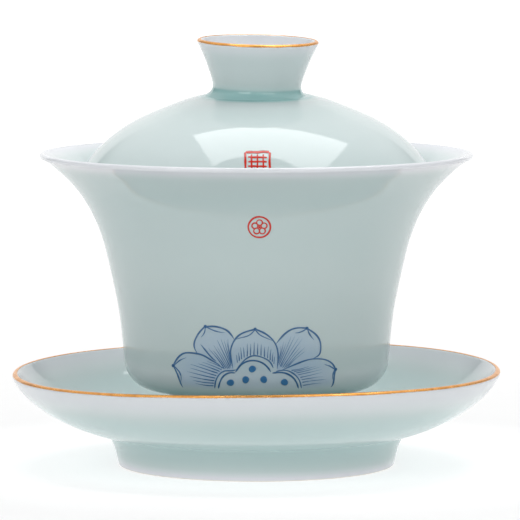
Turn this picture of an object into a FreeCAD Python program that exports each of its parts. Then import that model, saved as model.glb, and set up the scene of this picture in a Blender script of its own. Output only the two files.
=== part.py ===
"""Porcelain gaiwan: a flared tea bowl with a domed lid, standing on a footed saucer.

Millimetres. The origin is the centre of the saucer's foot, where it meets the table, and
+Z points up the common axis of the saucer and the bowl. The painted side faces -Y.
"""
import FreeCAD
import Part
import math
import os

V = FreeCAD.Vector
ORIGIN = V(0, 0, 0)
UP = V(0, 0, 1)

# Driving dimensions of the saucer
SAUCER_RIM_R = 56.0        # outermost radius
SAUCER_RIM_Z = 21.2        # centre of the lip's round section
SAUCER_LIP_R = 0.75        # radius of the lip's round section
SAUCER_FOOT_R = 30.6       # middle of the ring that touches the table
SAUCER_FOOT_FLAT = 1.3     # width of that ring
SAUCER_FOOT_ROUND = 0.45   # rounding on each side of it
SAUCER_FOOT_H = 7.2        # height of the foot's outer wall
SAUCER_FOOT_HOLLOW = 5.4   # depth of the hollow inside the foot ring
WELL_R = 20.6              # well that the bowl's foot stands in
WELL_Z = 8.9               # height of the well's floor

# Driving dimensions of the bowl
BOWL_RIM_R = 49.0          # centre of the lip's round section
BOWL_RIM_Z = 71.15         # its height
BOWL_LIP_R = 0.65
BOWL_WAIST_R = 30.8        # radius just above the lower corner
BOWL_CORNER_R = 7.0        # radius of the lower corner
BOWL_CORNER_Z = 24.6       # height where the corner meets the wall
BOWL_FOOT_R = 17.2         # middle of the ring that stands on the well's floor
BOWL_FOOT_FLAT = 1.1       # width of that ring
BOWL_FOOT_ROUND = 0.5      # rounding on each side of it
BOWL_FOOT_H = 7.4          # height of the foot ring's outer wall
BOWL_FOOT_HOLLOW = 5.2     # depth of the hollow inside the bowl's foot ring
BOWL_FLOOR_Z = 18.6        # inside bottom of the bowl, on the axis

# Driving dimensions of the lid
LID_EDGE_R = 39.3          # centre of the round section of the lid's edge
LID_EDGE_Z = 67.1          # its height
LID_EDGE_ROUND = 1.0
LID_WALL = 2.4
LID_SEAT_R = 12.2          # flat seat that the knob is luted to
LID_SEAT_Z = 84.7
KNOB_RIM_R = 13.3          # centre of the knob lip's round section
KNOB_RIM_Z = 96.9          # its height
KNOB_LIP_R = 0.6
KNOB_FLOOR_Z = 87.4        # bottom of the knob's hollow
KNOB_FOOT_Z = 84.2         # the knob is shaped down to here, then cut off level with its seat
KNOB_LEAN = 1.2            # degrees that it leans towards +X on its seat, as it was luted on
LID_ROCK_Z = 108.0         # the lid rests a little askew, rocked about this point of the axis
LID_PITCH = 2.4            # degrees that its top leans towards -Y
LID_SHIFT = (0.1, 0, 0.08)     # how far it is moved after that

# Decoration
GILT = 0.12                # thickness of the gilt bands
GILT_FACETS = 6            # cone faces across a band
SAUCER_GILT_SPAN = (18, 120)   # degrees of the lip that the gold covers, 0 outward, 90 up
KNOB_GILT_SPAN = (6, 120)
PAINT = 0.10               # thickness of the painted layers
PAINT_FRONT_Y = -80.0      # painted outlines are cut out along Y, from here
PAINT_BACK_Y = -8.0        # to here


def point(r, z):
    """A point of a half section, at radius r and height z."""
    return V(r, 0, z)


def spline(points):
    """A smooth edge through the given (r, z) points."""
    curve = Part.BSplineCurve()
    curve.interpolate([point(r, z) for r, z in points])
    return curve.toShape()


def line(start, end):
    return Part.LineSegment(point(*start), point(*end)).toShape()


def arc(start, middle, end):
    return Part.Arc(point(*start), point(*middle), point(*end)).toShape()


def on_circle(centre, radius, degrees):
    """The (r, z) point of a circle in the half section, 0 degrees outward, 90 up."""
    turn = math.radians(degrees)
    return (centre[0] + radius * math.cos(turn), centre[1] + radius * math.sin(turn))


def round_edge(centre, radius, first, last):
    """An arc of that circle, from the first to the last angle in degrees."""
    middle = (first + last) / 2
    return arc(*[on_circle(centre, radius, angle) for angle in (first, middle, last)])


def turned(edges):
    """The solid that a closed half section sweeps round the axis."""
    face = Part.Face(Part.Wire(Part.__sortEdges__(edges)))
    return face.revolve(ORIGIN, UP, 360)


def bevelled(centre, radius, first, last):
    """The (r, z) points of short straight facets that touch an arc of that circle from outside."""
    step = (last - first) / GILT_FACETS
    corner = radius / math.cos(math.radians(step / 2))
    return [on_circle(centre, corner, first + step * i) for i in range(GILT_FACETS + 1)]


def gilt_band(centre, radius, first, last):
    """A thin band laid on a rounded lip, between two angles of its section."""
    inner = bevelled(centre, radius, first, last)
    outer = bevelled(centre, radius + GILT, first, last)
    outline = inner + outer[::-1] + inner[:1]
    return turned([line(start, end) for start, end in zip(outline, outline[1:])])


class FootRing:
    """The flat base of a foot ring, with a rounding on each side of it."""

    def __init__(self, radius, height, flat, rounding):
        inner = (radius - flat / 2, height + rounding)
        outer = (radius + flat / 2, height + rounding)
        self.inside_end = on_circle(inner, rounding, -170)
        self.outside_end = on_circle(outer, rounding, -10)
        self.edges = [
            round_edge(inner, rounding, -170, -90),
            line((inner[0], height), (outer[0], height)),
            round_edge(outer, rounding, -90, -10),
        ]


# ---- saucer -----------------------------------------------------------------------------

SAUCER_LIP = (SAUCER_RIM_R - SAUCER_LIP_R, SAUCER_RIM_Z)


def make_saucer():
    """Shallow dish with a well in the middle, on a high foot ring that is hollow below."""
    foot = FootRing(SAUCER_FOOT_R, 0, SAUCER_FOOT_FLAT, SAUCER_FOOT_ROUND)
    shoulder = (34.3, SAUCER_FOOT_H)
    lip_out = on_circle(SAUCER_LIP, SAUCER_LIP_R, -20)
    lip_in = on_circle(SAUCER_LIP, SAUCER_LIP_R, 140)
    ceiling_edge = (28.6, SAUCER_FOOT_HOLLOW)
    well_edge = (WELL_R, WELL_Z + 0.9)
    well_floor = (WELL_R - 1.2, WELL_Z)
    underside = [
        shoulder, (36.6, 7.7), (41.9, 9.5), (46.8, 12.0), (51.6, 15.5), (54.5, 18.5), lip_out,
    ]
    dish = [
        lip_in, (53.0, 19.5), (49.6, 16.2), (44.8, 13.3), (37.5, 11.2), (29.0, 10.2), well_edge,
    ]
    edges = foot.edges + [
        spline([foot.outside_end, (32.2, 2.5), (32.95, 5.0), shoulder]),
        spline(underside),
        round_edge(SAUCER_LIP, SAUCER_LIP_R, -20, 140),
        spline(dish),
        arc(well_edge, (WELL_R - 0.5, WELL_Z + 0.15), well_floor),
        line(well_floor, (0, WELL_Z)),
        line((0, WELL_Z), (0, SAUCER_FOOT_HOLLOW)),
        line((0, SAUCER_FOOT_HOLLOW), ceiling_edge),
        arc(ceiling_edge, (29.4, SAUCER_FOOT_HOLLOW - 0.4), (29.8, SAUCER_FOOT_HOLLOW - 1.4)),
        line((29.8, SAUCER_FOOT_HOLLOW - 1.4), foot.inside_end),
    ]
    return turned(edges)


# ---- bowl -------------------------------------------------------------------------------

BOWL_LIP = (BOWL_RIM_R, BOWL_RIM_Z)
BOWL_CORNER = (BOWL_WAIST_R - 0.4 - BOWL_CORNER_R, BOWL_CORNER_Z)
CORNER_LOW_ANGLE = -80     # where the corner's arc runs into the bowl's bottom
BOWL_WALL_OUT = [
    on_circle(BOWL_CORNER, BOWL_CORNER_R, 0),
    (BOWL_WAIST_R, 29.0),
    (31.65, 36.0),
    (33.5, 45.0),
    (35.58, 53.0),
    (38.2, 59.0),
    (41.17, 63.5),
    (44.51, 67.0),
    (47.6, 69.6),
    on_circle(BOWL_LIP, BOWL_LIP_R, -35),
]
BOWL_WALL_IN = [
    on_circle(BOWL_LIP, BOWL_LIP_R, 130),
    (46.2, 70.3),
    (42.6, 67.8),
    (39.1, 64.6),
    (36.0, 60.2),
    (33.3, 54.0),
    (31.2, 46.0),
    (29.3, 36.0),
    (28.3, 28.5),
]


def bowl_underside():
    """The outer edges from the table side of the foot ring up to the lower corner."""
    foot = FootRing(BOWL_FOOT_R, WELL_Z, BOWL_FOOT_FLAT, BOWL_FOOT_ROUND)
    foot_top = (18.9, WELL_Z + BOWL_FOOT_H - 0.6)
    belly = (20.4, WELL_Z + BOWL_FOOT_H + 0.5)
    hollow_z = WELL_Z + BOWL_FOOT_HOLLOW
    hollow_edge = (14.6, hollow_z)
    corner_low = on_circle(BOWL_CORNER, BOWL_CORNER_R, CORNER_LOW_ANGLE)
    return foot.edges + [
        line((0, hollow_z), hollow_edge),
        arc(hollow_edge, (15.4, hollow_z - 0.4), (15.75, hollow_z - 1.3)),
        line((15.75, hollow_z - 1.3), foot.inside_end),
        line(foot.outside_end, foot_top),
        arc(foot_top, (19.35, WELL_Z + BOWL_FOOT_H + 0.1), belly),
        line(belly, corner_low),
        round_edge(BOWL_CORNER, BOWL_CORNER_R, CORNER_LOW_ANGLE, 0),
    ]


def make_bowl():
    """Flared bowl with a rounded lower corner, on a small foot ring."""
    inner_corner = BOWL_WALL_IN[-1]
    hollow_z = WELL_Z + BOWL_FOOT_HOLLOW
    edges = bowl_underside() + [
        spline(BOWL_WALL_OUT),
        round_edge(BOWL_LIP, BOWL_LIP_R, -35, 130),
        spline(BOWL_WALL_IN),
        spline([inner_corner, (26.7, 23.3), (21.8, 20.1), (12.0, 18.8), (0, BOWL_FLOOR_Z)]),
        line((0, BOWL_FLOOR_Z), (0, hollow_z)),
    ]
    return turned(edges)


# ---- lid --------------------------------------------------------------------------------

LID_EDGE = (LID_EDGE_R, LID_EDGE_Z)
LID_DOME_OUT = [
    (LID_SEAT_R, LID_SEAT_Z),
    (16.0, 83.74),
    (20.0, 82.24),
    (25.0, 80.16),
    (30.0, 77.54),
    (34.5, 74.2),
    (38.0, 70.5),
    on_circle(LID_EDGE, LID_EDGE_ROUND, 25),
]


def make_lid_dome():
    """Round dome with a flat seat for the knob, open below."""
    edge_in = on_circle(LID_EDGE, LID_EDGE_ROUND, 205)
    top = LID_SEAT_Z - LID_WALL
    inside = [
        edge_in, (36.0, 69.7), (32.9, 72.9), (28.8, 75.75), (20.0, 79.7), (10.0, 82.0), (0, top),
    ]
    edges = [
        line((0, LID_SEAT_Z), (LID_SEAT_R, LID_SEAT_Z)),
        spline(LID_DOME_OUT),
        round_edge(LID_EDGE, LID_EDGE_ROUND, -155, 25),
        spline(inside),
        line((0, top), (0, LID_SEAT_Z)),
    ]
    return turned(edges)


KNOB_LIP = (KNOB_RIM_R, KNOB_RIM_Z)


def leaned(shape):
    """A shape of the knob, leaned the way the knob stands on its seat."""
    shape.rotate(V(0, 0, LID_SEAT_Z), V(0, 1, 0), KNOB_LEAN)
    return shape


def make_lid_knob():
    """Hollow trumpet knob, luted to the dome's seat."""
    lip_out = on_circle(KNOB_LIP, KNOB_LIP_R, -20)
    lip_in = on_circle(KNOB_LIP, KNOB_LIP_R, 160)
    foot = (12.4, KNOB_FOOT_Z)
    outside = [
        lip_out, (12.75, 94.5), (11.5, 91.5), (10.55, 88.8), (10.15, 87.0), (10.4, 85.8),
        (11.35, 84.9), foot,
    ]
    inside = [lip_in, (11.6, 95.0), (10.0, 91.6), (8.6, 88.9), (5.5, 87.6), (0, KNOB_FLOOR_Z)]
    edges = [
        line((0, KNOB_FOOT_Z), foot),
        spline(outside),
        round_edge(KNOB_LIP, KNOB_LIP_R, -20, 160),
        spline(inside),
        line((0, KNOB_FLOOR_Z), (0, KNOB_FOOT_Z)),
    ]
    below = Part.makeCylinder(2 * KNOB_RIM_R, 2, V(0, 0, LID_SEAT_Z - 2))
    return leaned(turned(edges)).cut(below)


# ---- painted decoration -----------------------------------------------------------------
# Places on the painted side are (x, z), as seen from the front.

# Each petal: the place of its tip, of its two feet, and how far its sides bulge out, as a
# share of its length. A petal lies under the ones listed before it.
LOTUS_PETALS = [
    ((-0.3, 34.5), (-5.4, 23.4), (4.6, 23.4), 0.20),
    ((-11.4, 34.8), (-8.6, 22.4), (-5.2, 22.4), 0.42),
    ((11.3, 34.4), (4.6, 22.4), (8.0, 22.4), 0.42),
    ((-18.8, 25.2), (-9.4, 20.8), (-8.0, 22.6), 0.42),
    ((17.9, 24.3), (8.8, 22.6), (10.2, 20.8), 0.42),
]
POD_LOBES = [(-6.0, 20.6, 3.2), (-0.6, 22.2, 4.8), (5.4, 20.6, 4.2)]  # x, z and radius
POD_LINE = 0.9             # width of the pod's outline
POD_BASE_Z = 20.8
SEEDS = [(-5.9, 21.9), (-2.4, 22.4), (-0.9, 24.8), (1.7, 22.5), (6.3, 21.9)]
SEED_R = 0.8
BOWL_SEAL = (0.7, 57.8)
BOWL_SEAL_R = 2.65
SEAL_LINE = 0.45           # width of the seals' border lines
FLORET_PETALS = 5
FLORET_REACH = 1.15        # distance of the floret's petals from its middle
FLORET_PETAL_R = 0.5
LID_SEAL = (0.15, 73.45)
LID_SEAL_WIDTH = 5.7
LID_SEAL_HEIGHT = 3.9       # measured along Z; the dome is sloped there
LATTICE_BARS = 2


def lifted(points):
    """Points of an outer wall, given from low to high, moved off it by the paint's thickness."""
    curve = Part.BSplineCurve()
    curve.interpolate([point(r, z) for r, z in points])
    moved = []
    for r, z in points:
        along = curve.tangent(curve.parameter(point(r, z)))[0]
        moved.append((r + PAINT * along.z, z - PAINT * along.x))
    return moved


def stencil(edges):
    """A prism along Y with the given closed outline."""
    face = Part.Face(Part.Wire(Part.__sortEdges__(edges)))
    face.translate(V(0, PAINT_BACK_Y, 0))
    return face.extrude(V(0, PAINT_FRONT_Y - PAINT_BACK_Y, 0))


def disc(x, z, radius):
    return stencil([Part.Circle(point(x, z), V(0, 1, 0), radius).toShape()])


def block(x, z, width, height):
    """A prism along Y with a rectangular outline, centred on (x, z)."""
    corner = V(x - width / 2, PAINT_FRONT_Y, z - height / 2)
    return Part.makeBox(width, PAINT_BACK_Y - PAINT_FRONT_Y, height, corner)


def petal(tip, foot_left, foot_right, bulge):
    """Two bowed sides from the tip to the feet, and a straight base."""
    base = ((foot_left[0] + foot_right[0]) / 2, (foot_left[1] + foot_right[1]) / 2)
    reach = (tip[0] - base[0], tip[1] - base[1])
    edges = [line(foot_left, foot_right)]
    for foot, side in ((foot_left, -1), (foot_right, 1)):
        middle = ((tip[0] + foot[0]) / 2, (tip[1] + foot[1]) / 2)
        swell = (middle[0] + side * bulge * reach[1], middle[1] - side * bulge * reach[0])
        edges.append(arc(tip, swell, foot))
    return stencil(edges)


def pod(shrink):
    """The scalloped seed pod, three round lobes above a level base."""
    lobes = [disc(x, z, radius - shrink) for x, z, radius in POD_LOBES]
    whole = lobes[0].fuse(lobes[1:])
    below = block(0, POD_BASE_Z - 20, 60, 40)
    return whole.cut(below)


def bowl_layer():
    """A layer of paint all round the bowl, from its lower corner to its lip."""
    wall = [on_circle(BOWL_CORNER, BOWL_CORNER_R + PAINT, 0)] + lifted(BOWL_WALL_OUT)[1:]
    edges = [spline(BOWL_WALL_OUT), spline(wall), line(BOWL_WALL_OUT[-1], wall[-1])]
    ends = []
    for radius in (BOWL_CORNER_R, BOWL_CORNER_R + PAINT):
        edges.append(round_edge(BOWL_CORNER, radius, CORNER_LOW_ANGLE, 0))
        ends.append(on_circle(BOWL_CORNER, radius, CORNER_LOW_ANGLE))
    return turned(edges + [line(*ends)])


def lid_layer():
    """A layer of paint all round the lid's dome."""
    dome = LID_DOME_OUT[::-1]
    top = lifted(dome)
    return turned([spline(dome), spline(top), line(dome[0], top[0]), line(dome[-1], top[-1])])


def group(pieces):
    """One shape that holds every solid of the pieces, side by side."""
    return Part.makeCompound([solid for piece in pieces for solid in piece.Solids])


def make_lotus_petals(layer):
    """Five petals that open behind the seed pod."""
    taken = pod(0)
    pieces = []
    for tip, foot_left, foot_right, bulge in LOTUS_PETALS:
        outline = petal(tip, foot_left, foot_right, bulge)
        pieces.append(layer.common(outline.cut(taken)))
        taken = taken.fuse(outline)
    return group(pieces)


def make_lotus_pod(layer):
    """The pod's scalloped outline."""
    return group([layer.common(pod(0).cut(pod(POD_LINE)))])


def make_lotus_seeds(layer):
    return group([layer.common(disc(x, z, SEED_R)) for x, z in SEEDS])


def make_bowl_seal(layer):
    """A round seal: a ring with a plain floret inside it."""
    x, z = BOWL_SEAL
    pieces = [disc(x, z, BOWL_SEAL_R).cut(disc(x, z, BOWL_SEAL_R - SEAL_LINE))]
    for number in range(FLORET_PETALS):
        turn = math.radians(90 + 360 * number / FLORET_PETALS)
        across = FLORET_REACH * math.cos(turn)
        above = FLORET_REACH * math.sin(turn)
        pieces.append(disc(x + across, z + above, FLORET_PETAL_R))
    return group([layer.common(piece) for piece in pieces])


def make_lid_seal(layer):
    """A square seal: a frame crossed by a plain lattice."""
    x, z = LID_SEAL
    inner_width = LID_SEAL_WIDTH - 2 * SEAL_LINE
    inner_height = LID_SEAL_HEIGHT - 2 * SEAL_LINE
    seal = block(x, z, LID_SEAL_WIDTH, LID_SEAL_HEIGHT).cut(block(x, z, inner_width, inner_height))
    bars = []
    for number in range(1, LATTICE_BARS + 1):
        share = number / (LATTICE_BARS + 1) - 0.5
        bars.append(block(x + share * inner_width, z, SEAL_LINE, inner_height + SEAL_LINE))
        bars.append(block(x, z + share * inner_height, inner_width + SEAL_LINE, SEAL_LINE))
    return group([layer.common(seal.fuse(bars))])


# ---- the whole set ----------------------------------------------------------------------

def rested(shape):
    """A shape of the lid, leaned the way the lid rests in the bowl's mouth."""
    shape.rotate(V(0, 0, LID_ROCK_Z), V(1, 0, 0), LID_PITCH)
    shape.translate(V(*LID_SHIFT))
    return shape


def make_all():
    """Every node by name."""
    layer = bowl_layer()
    return {
        "saucer": make_saucer(),
        "saucer_gilt": gilt_band(SAUCER_LIP, SAUCER_LIP_R, *SAUCER_GILT_SPAN),
        "bowl": make_bowl(),
        "lotus_petals": make_lotus_petals(layer),
        "lotus_pod": make_lotus_pod(layer),
        "lotus_seeds": make_lotus_seeds(layer),
        "bowl_seal": make_bowl_seal(layer),
        "lid_dome": rested(make_lid_dome()),
        "lid_knob": rested(make_lid_knob()),
        "knob_gilt": rested(leaned(gilt_band(KNOB_LIP, KNOB_LIP_R, *KNOB_GILT_SPAN))),
        "lid_seal": rested(make_lid_seal(lid_layer())),
    }


os.makedirs("parts", exist_ok=True)
for name, shape in make_all().items():
    shape.exportStep("parts/" + name + ".step")
    print(name, len(shape.Solids), "solids", round(shape.Volume, 2), "mm3, valid", shape.isValid())
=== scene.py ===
"""Looks of a porcelain gaiwan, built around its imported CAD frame.

Metres, +Z up, painted side to -Y. The half sections are written in millimetres, as (radius,
height) points, in the frame's own axes.
"""

import math

import bpy
import numpy as np
from mathutils import Matrix, Vector


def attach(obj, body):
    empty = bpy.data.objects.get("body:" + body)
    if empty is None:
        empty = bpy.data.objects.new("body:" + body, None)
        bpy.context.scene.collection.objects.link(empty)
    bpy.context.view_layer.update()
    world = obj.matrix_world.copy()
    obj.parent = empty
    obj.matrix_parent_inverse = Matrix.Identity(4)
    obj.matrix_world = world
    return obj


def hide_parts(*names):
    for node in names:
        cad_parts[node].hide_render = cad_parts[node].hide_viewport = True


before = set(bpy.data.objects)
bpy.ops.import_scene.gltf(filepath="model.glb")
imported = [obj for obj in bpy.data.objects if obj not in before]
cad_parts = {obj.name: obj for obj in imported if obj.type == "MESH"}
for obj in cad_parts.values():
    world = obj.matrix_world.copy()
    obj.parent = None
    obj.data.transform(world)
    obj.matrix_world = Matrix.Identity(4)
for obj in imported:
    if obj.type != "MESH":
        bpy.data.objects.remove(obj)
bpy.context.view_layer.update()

MM = 0.001
RANDOM = np.random.default_rng(11)
FINE = 0.1                # spacing of the points that a half section is worked out on
PAINT_STEP = 0.2          # and of those on a painted line


# ---- half sections ----------------------------------------------------------------------

def spline(points, step=FINE):
    """Close points on the natural cubic that passes through the given points."""
    knots = np.array(points, float)
    at = np.concatenate(([0], np.cumsum(np.linalg.norm(np.diff(knots, axis=0), axis=1))))
    gap = np.diff(at)
    count = len(at)
    system = np.eye(count)
    wanted = np.zeros_like(knots)
    for i in range(1, count - 1):
        system[i, i - 1:i + 2] = gap[i - 1], 2 * (gap[i - 1] + gap[i]), gap[i]
        slope_after = (knots[i + 1] - knots[i]) / gap[i]
        slope_before = (knots[i] - knots[i - 1]) / gap[i - 1]
        wanted[i] = 6 * (slope_after - slope_before)
    bend = np.linalg.solve(system, wanted)
    along = np.linspace(0, at[-1], max(2, int(at[-1] / step) + 1))
    i = np.clip(np.searchsorted(at, along) - 1, 0, count - 2)
    width = gap[i][:, None]
    done = (along - at[i])[:, None]
    left = (at[i + 1] - along)[:, None]
    return ((bend[i] * left ** 3 + bend[i + 1] * done ** 3) / (6 * width)
            + (knots[i] / width - bend[i] * width / 6) * left
            + (knots[i + 1] / width - bend[i + 1] * width / 6) * done)


def straight(*points):
    return np.array(points, float)


def on_circle(centre, radius, degrees):
    """The (r, z) point of a circle in the half section, 0 degrees outward, 90 up."""
    turn = np.radians(degrees)
    return (centre[0] + radius * np.cos(turn), centre[1] + radius * np.sin(turn))


def arc(centre, radius, first, last):
    count = max(3, int(abs(math.radians(last - first)) * radius / FINE) + 1)
    turn = np.linspace(first, last, count)
    return np.stack(on_circle(centre, radius, turn), axis=1)


def evenly(points, step):
    """The same line, with a point every step."""
    length = np.concatenate(([0], np.cumsum(np.linalg.norm(np.diff(points, axis=0), axis=1))))
    along = np.linspace(0, length[-1], max(2, int(round(length[-1] / step)) + 1))
    return np.stack([np.interp(along, length, points[:, k]) for k in (0, 1)], axis=1)


def blurred(values, reach):
    """Values along a fine half section, blurred over the given reach in millimetres."""
    offsets = np.arange(-int(3 * reach / FINE), int(3 * reach / FINE) + 1)
    weights = np.exp(-0.5 * (offsets * FINE / reach) ** 2)
    padded = np.pad(values, len(offsets) // 2, mode="edge")
    return np.convolve(padded, weights / weights.sum(), mode="valid")


class Section:
    """The half section of a glazed piece, from the axis below round to the axis above.

    Glaze rounds off every sharp corner a little. It runs thin over convex edges and pools in
    concave ones, so its depth is worked out from how the section bends.
    """

    SHRINK, GROW, ROUNDS = 0.5, -0.53, 24   # smoothing that rounds corners and keeps sizes
    DEPTH, GAIN, REACH = 0.46, 1.15, 1.1    # glaze depth on a flat wall, and how it follows bends
    WIPED, WIPE_EDGE = 0.18, 0.16           # height of a foot wiped bare, and of the edge above it
    WIPE_HALF = 1.4                         # half the width of the ring that is wiped

    def __init__(self, *runs):
        joined = [runs[0]] + [run[1:] for run in runs[1:]]
        line = evenly(np.concatenate(joined), FINE)
        for number in range(2 * self.ROUNDS):
            weight = self.GROW if number % 2 else self.SHRINK
            line[1:-1] += weight * ((line[:-2] + line[2:]) / 2 - line[1:-1])
        self.line = evenly(line, FINE)
        ahead = np.gradient(self.line, axis=0)
        heading = np.unwrap(np.arctan2(ahead[:, 1], ahead[:, 0]))
        self.bend = np.gradient(heading) / FINE
        size = np.linalg.norm(ahead, axis=1, keepdims=True)
        self.normal = np.stack([ahead[:, 1], -ahead[:, 0]], axis=1) / size
        self.glaze = np.clip(self.DEPTH - self.GAIN * blurred(self.bend, self.REACH), 0, 1)
        self.bare = np.zeros(len(self.line))

    def pool(self, centre, reach, depth, sharp=4, inner=False):
        """Brings the glaze to the given depth round a point, or only on the hollow side there."""
        away = np.hypot(*(self.line - centre).T) / reach
        share = np.exp(-away ** sharp)
        if inner:
            share = share * (self.normal[:, 0] < 0.1)
        self.glaze = self.glaze * (1 - share) + depth * share

    def wipe_foot(self, height, radius):
        """Leaves the ring that the piece was fired on without glaze."""
        r, z = self.line.T
        low = 1 - np.clip((z - height - self.WIPED) / self.WIPE_EDGE, 0, 1)
        self.bare = low * (np.abs(r - radius) < self.WIPE_HALF)

    def sparse(self, coarse=0.85, fine=0.16, share=0.22):
        """Indices of the points worth keeping: close together where the section bends."""
        tight = np.maximum.reduce([np.roll(np.abs(self.bend), k) for k in range(-4, 5)])
        step = np.clip(share / np.maximum(tight, 1e-6), fine, coarse)
        kept = [0]
        travelled = 0.0
        for i in range(1, len(self.line)):
            travelled += FINE / step[i]
            if travelled >= 1:
                kept.append(i)
                travelled = 0.0
        if kept[-1] != len(self.line) - 1:
            kept.append(len(self.line) - 1)
        return np.array(kept)


class FootRing:
    """The flat base of a foot ring, with a rounding on each side of it."""

    def __init__(self, radius, height, flat, rounding):
        inner = (radius - flat / 2, height + rounding)
        outer = (radius + flat / 2, height + rounding)
        self.inside_end = on_circle(inner, rounding, -170)
        self.outside_end = on_circle(outer, rounding, -10)
        self.line = np.concatenate([arc(inner, rounding, -170, -90), arc(outer, rounding, -90, -10)])


SAUCER_LIP = (55.25, 21.2)
SAUCER_LIP_R = 0.75
SAUCER_FOOT = (30.6, 0.0)
SAG = (0.08, 0.48, 0.14, -0.28, 0.0, -0.06, 0.23)   # the rim's rise: a constant, then the cosine
#                                                     and sine of 1, 2 and 3 waves round it
SAG_START = 33.0          # radius where the saucer starts to be out of true
SAG_CURVE = 1.5           # how steeply that grows towards the rim
WELL_Z = 8.9              # floor of the well that the bowl stands in


def saucer_section():
    foot = FootRing(*SAUCER_FOOT, 1.3, 0.45)
    shoulder = (34.3, 7.2)
    lip_out = on_circle(SAUCER_LIP, SAUCER_LIP_R, -20)
    lip_in = on_circle(SAUCER_LIP, SAUCER_LIP_R, 140)
    well_edge = (20.6, WELL_Z + 0.9)
    underside = [
        shoulder, (36.6, 7.7), (41.9, 9.5), (46.8, 12.0), (51.6, 15.5), (54.5, 18.5), lip_out,
    ]
    dish = [
        lip_in, (53.0, 19.5), (49.6, 16.2), (44.8, 13.3), (37.5, 11.2), (29.0, 10.2), well_edge,
    ]
    section = Section(
        straight((0, 5.4), (28.6, 5.4), (29.4, 5.0), (29.8, 4.0), foot.inside_end),
        foot.line,
        spline([foot.outside_end, (32.2, 2.5), (32.95, 5.0), shoulder]),
        spline(underside),
        arc(SAUCER_LIP, SAUCER_LIP_R, -20, 140),
        spline(dish),
        straight(well_edge, (20.1, WELL_Z + 0.15), (19.4, WELL_Z), (0, WELL_Z)),
    )
    section.pool((43.0, 11.0), 12.0, 0.60, 6)         # painted shade: darker glaze colour over the underside flank
    section.pool(SAUCER_LIP, 5.0, 0.14, 2)            # thin on the rim
    section.wipe_foot(0.0, SAUCER_FOOT[0])
    return section


BOWL_LIP = (49.0, 71.15)
BOWL_LIP_R = 0.65
BOWL_CORNER = (23.4, 24.6)
BOWL_CORNER_R = 7.0
BOWL_FOOT = (17.2, WELL_Z)


def bowl_section():
    foot = FootRing(*BOWL_FOOT, 1.1, 0.5)
    wall_out = [
        on_circle(BOWL_CORNER, BOWL_CORNER_R, 0), (30.8, 29.0), (31.65, 36.0), (33.5, 45.0),
        (35.58, 53.0), (38.2, 59.0), (41.17, 63.5), (44.51, 67.0), (47.6, 69.6),
        on_circle(BOWL_LIP, BOWL_LIP_R, -35),
    ]
    wall_in = [
        on_circle(BOWL_LIP, BOWL_LIP_R, 130), (46.2, 70.3), (42.6, 67.8), (39.1, 64.6),
        (36.0, 60.2), (33.3, 54.0), (31.2, 46.0), (29.3, 36.0), (28.3, 28.5),
    ]
    section = Section(
        straight((0, 14.1), (14.6, 14.1), (15.4, 13.7), (15.75, 12.8), foot.inside_end),
        foot.line,
        straight(foot.outside_end, (18.9, 15.7), (19.35, 16.4), (20.4, 16.8)),
        arc(BOWL_CORNER, BOWL_CORNER_R, -80, 0),
        spline(wall_out),
        arc(BOWL_LIP, BOWL_LIP_R, -35, 130),
        spline(wall_in),
        spline([wall_in[-1], (26.7, 23.3), (21.8, 20.1), (12.0, 18.8), (0, 18.6)]),
    )
    section.pool(BOWL_LIP, 3.0, 0.10, 2)              # thin on the rim
    section.pool((26.5, 18.2), 2.6, 0.80, 2)          # glaze gathered under the lower corner, deepened further as painted shade from the saucer
    section.wipe_foot(WELL_Z, BOWL_FOOT[0])
    return section


LID_EDGE = (39.3, 67.1)
LID_EDGE_R = 1.0
LID_SEAT = (12.2, 84.7)
KNOB_LIP = (13.3, 96.9)
KNOB_LIP_R = 0.6


def lid_section():
    """The dome, open below, and closed above by the seat that the knob stands on."""
    dome = [
        on_circle(LID_EDGE, LID_EDGE_R, 25), (38.0, 70.5), (34.5, 74.2), (30.0, 77.54),
        (25.0, 80.16), (20.0, 82.24), (16.0, 83.74), LID_SEAT,
    ]
    inside = [
        on_circle(LID_EDGE, LID_EDGE_R, -155), (36.0, 69.7), (32.9, 72.9), (28.8, 75.75),
        (20.0, 79.7), (10.0, 82.0), (0, 82.6),
    ]
    section = Section(
        spline(inside)[::-1],
        arc(LID_EDGE, LID_EDGE_R, -155, 25),
        spline(dome),
        straight(LID_SEAT, (0, LID_SEAT[1])),
    )
    section.pool((11.3, 84.7), 2.1, 1.0, 6)           # pooled round the knob's foot
    return section


def knob_section():
    """Hollow trumpet, whose foot reaches a little down into the dome."""
    foot = (12.4, 84.2)
    outside = [
        foot, (11.35, 84.9), (10.4, 85.8), (10.15, 87.0), (10.55, 88.8), (11.5, 91.5),
        (12.75, 94.5), on_circle(KNOB_LIP, KNOB_LIP_R, -20),
    ]
    inside = [
        on_circle(KNOB_LIP, KNOB_LIP_R, 160), (11.6, 95.0), (10.0, 91.6), (8.6, 88.9),
        (5.5, 87.6), (0, 87.4),
    ]
    section = Section(
        straight((0, foot[1]), foot),
        spline(outside),
        arc(KNOB_LIP, KNOB_LIP_R, -20, 160),
        spline(inside),
    )
    section.pool((12.0, 92.0), 6.0, 0.40, 4)          # a little thinner up the wall
    section.pool((10.6, 84.7), 2.0, 1.0, 8)           # pooled in the foot
    section.pool((4.0, 90.0), 12.0, 0.0, 4, inner=True)
    section.pool(KNOB_LIP, 2.0, 0.15, 2)              # thin on the rim
    return section


LID_ROCK_Z = 108.0        # the lid rests askew, rocked about this height of the axis
LID_PITCH = math.radians(2.4)
LID_SHIFT = np.array((0.1, 0, 0.08))
KNOB_LEAN = math.radians(1.2)   # the knob was luted on leaning a little


def rocked(vertices, height, axis, angle):
    """Points turned about an axis that crosses the middle at the given height."""
    turn = np.array(Matrix.Rotation(angle, 3, axis))
    pivot = np.array((0, 0, height))
    return (np.asarray(vertices) - pivot) @ turn.T + pivot


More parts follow.
